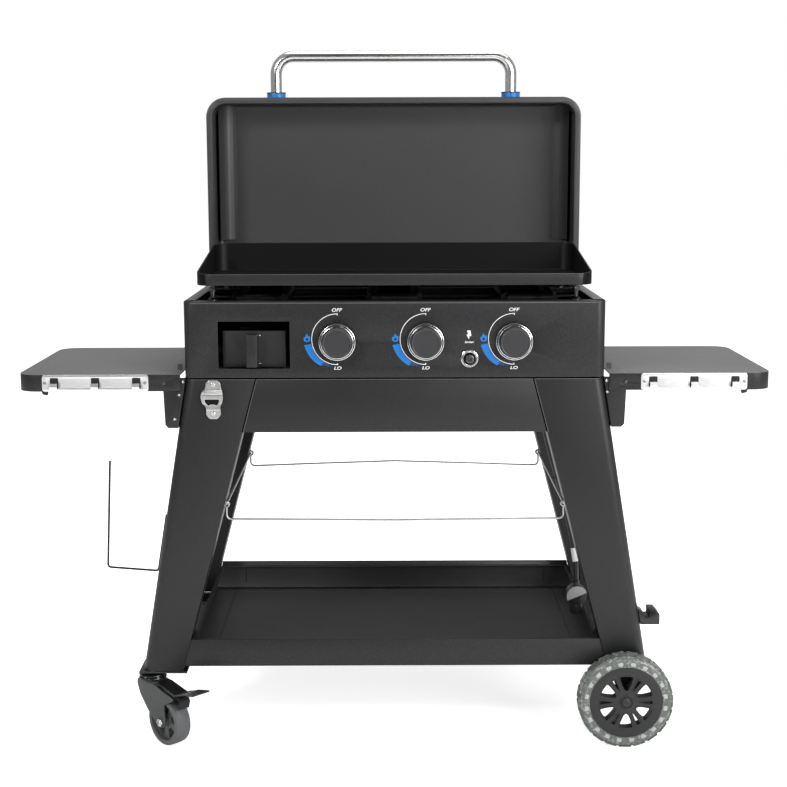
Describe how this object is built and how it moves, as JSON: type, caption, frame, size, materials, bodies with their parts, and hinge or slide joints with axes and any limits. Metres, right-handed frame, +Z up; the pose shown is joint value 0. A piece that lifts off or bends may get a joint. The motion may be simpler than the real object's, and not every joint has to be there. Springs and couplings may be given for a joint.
{
  "type": "outdoor gas griddle station",
  "caption": "Gas griddle on a splayed-leg cart with a hinged lid, side shelves, bottom shelf, wheels and casters.",
  "frame": {"origin": "on the floor, under the centre of the bounding box", "axes": "+X to the right seen from the front, +Y towards the back, +Z up"},
  "size_m": [1.474, 0.736, 1.392],
  "materials": {
    "powder_coat": "black-grey speckled powder coat, fine satin texture",
    "shelf_coat": "satin grey textured coat",
    "griddle_black": "glossy black enamelled steel",
    "stainless": "satin stainless steel",
    "bright_steel": "bright polished steel",
    "zinc_wire": "bright zinc wire",
    "galvanised": "plain zinc-plated steel",
    "brass": "plain brass fittings and aluminium pipe",
    "blue_plastic": "bright blue, glossy",
    "black_plastic": "black, fine satin",
    "grey_plastic": "grey, satin",
    "tyre_grey": "clear grey solid tyre",
    "caster_grey": "grey tread",
    "hose_rubber": "black, satin"
  },
  "bodies": {
    "station": {"control_panel": "powder_coat", "box_side_left": "powder_coat", "box_side_right": "powder_coat", "box_rear": "powder_coat", "box_floor": "powder_coat", "vent_deck": "powder_coat", "box_rails": "powder_coat", "lid_hinge_brackets": "powder_coat", "leg_front_left": "powder_coat", "leg_front_right": "powder_coat", "leg_rear_left": "powder_coat", "leg_rear_right": "powder_coat", "apron_front": "powder_coat", "apron_rear": "powder_coat", "side_rails": "powder_coat", "bottom_shelf": "powder_coat", "shelf_brackets": "powder_coat", "tank_hook": "powder_coat", "griddle_plate": "griddle_black", "burners": "stainless", "bottle_opener": "bright_steel", "spreader_wires": "zinc_wire", "towel_holder": "zinc_wire", "griddle_feet": "galvanised", "wheel_axle": "galvanised", "axle_brackets": "galvanised", "caster_plates": "galvanised", "gas_manifold": "brass", "igniter_housing": "black_plastic", "regulator": "grey_plastic", "gas_hose": "hose_rubber"},
    "lid": {"lid_shell": "powder_coat", "lid_handle": "stainless", "handle_spacers": "blue_plastic"},
    "knob_left": {"knob_1": "black_plastic"},
    "knob_middle": {"knob_2": "black_plastic"},
    "knob_right": {"knob_3": "black_plastic"},
    "igniter": {"igniter_button": "black_plastic"},
    "tray": {"grease_tray": "powder_coat"},
    "shelf_left": {"side_shelf_left": "shelf_coat", "hook_strip_left": "bright_steel"},
    "shelf_right": {"side_shelf_right": "shelf_coat", "hook_strip_right": "bright_steel"},
    "wheel_front": {"wheel_rim_front": "black_plastic", "wheel_tyre_front": "tyre_grey"},
    "wheel_rear": {"wheel_rim_rear": "black_plastic", "wheel_tyre_rear": "tyre_grey"},
    "swivel_front": {"caster_fork_front": "black_plastic"},
    "swivel_rear": {"caster_fork_rear": "black_plastic"},
    "roller_front": {"caster_wheel_front": "caster_grey"},
    "roller_rear": {"caster_wheel_rear": "caster_grey"},
    "pedal_front": {"caster_pedal_front": "black_plastic"},
    "pedal_rear": {"caster_pedal_rear": "black_plastic"}
  },
  "joints": [
    {"name": "lid_hinge", "type": "hinge", "parent": "station", "child": "lid", "pos_m": [0, 0.109, 0.912], "axis": [1, 0, 0], "range_deg": [0, 90]},
    {"name": "knob_left_turn", "type": "hinge", "parent": "station", "child": "knob_left", "pos_m": [-0.111, -0.28, 0.8135], "axis": [0, -1, 0], "range_deg": [0, 180]},
    {"name": "knob_middle_turn", "type": "hinge", "parent": "station", "child": "knob_middle", "pos_m": [0.06, -0.28, 0.8135], "axis": [0, -1, 0], "range_deg": [0, 180]},
    {"name": "knob_right_turn", "type": "hinge", "parent": "station", "child": "knob_right", "pos_m": [0.231, -0.28, 0.8135], "axis": [0, -1, 0], "range_deg": [0, 180]},
    {"name": "igniter_push", "type": "slide", "parent": "station", "child": "igniter", "axis": [0, 1, 0], "range_m": [0, 0.004], "stiffness_N_per_m": 300},
    {"name": "tray_pull", "type": "slide", "parent": "station", "child": "tray", "axis": [0, -1, 0], "range_m": [0, 0.28]},
    {"name": "shelf_left_fold", "type": "hinge", "parent": "station", "child": "shelf_left", "pos_m": [-0.45, -0.06, 0.732], "axis": [0, -1, 0], "range_deg": [0, 55]},
    {"name": "shelf_right_fold", "type": "hinge", "parent": "station", "child": "shelf_right", "pos_m": [0.45, -0.06, 0.732], "axis": [0, 1, 0], "range_deg": [0, 80]},
    {"name": "wheel_front_roll", "type": "hinge", "parent": "station", "child": "wheel_front", "pos_m": [0.458, -0.298, 0.095], "axis": [0, 1, 0], "continuous": true},
    {"name": "wheel_rear_roll", "type": "hinge", "parent": "station", "child": "wheel_rear", "pos_m": [0.458, 0.298, 0.095], "axis": [0, 1, 0], "continuous": true},
    {"name": "swivel_front_turn", "type": "hinge", "parent": "station", "child": "swivel_front", "pos_m": [-0.492, -0.2443, 0.137], "axis": [0, 0, 1], "continuous": true},
    {"name": "roller_front_roll", "type": "hinge", "parent": "swivel_front", "child": "roller_front", "pos_m": [-0.45523, -0.28107, 0.049], "axis": [0.7071, 0.7071, 0], "continuous": true},
    {"name": "pedal_front_press", "type": "hinge", "parent": "swivel_front", "child": "pedal_front", "pos_m": [-0.47503, -0.26127, 0.1204], "axis": [0.7071, 0.7071, 0], "range_deg": [0, 8]},
    {"name": "swivel_rear_turn", "type": "hinge", "parent": "station", "child": "swivel_rear", "pos_m": [-0.492, 0.2443, 0.137], "axis": [0, 0, 1], "continuous": true},
    {"name": "roller_rear_roll", "type": "hinge", "parent": "swivel_rear", "child": "roller_rear", "pos_m": [-0.45523, 0.28107, 0.049], "axis": [-0.7071, 0.7071, 0], "continuous": true},
    {"name": "pedal_rear_press", "type": "hinge", "parent": "swivel_rear", "child": "pedal_rear", "pos_m": [-0.47503, 0.26127, 0.1204], "axis": [-0.7071, 0.7071, 0], "range_deg": [0, 8]}
  ]
}
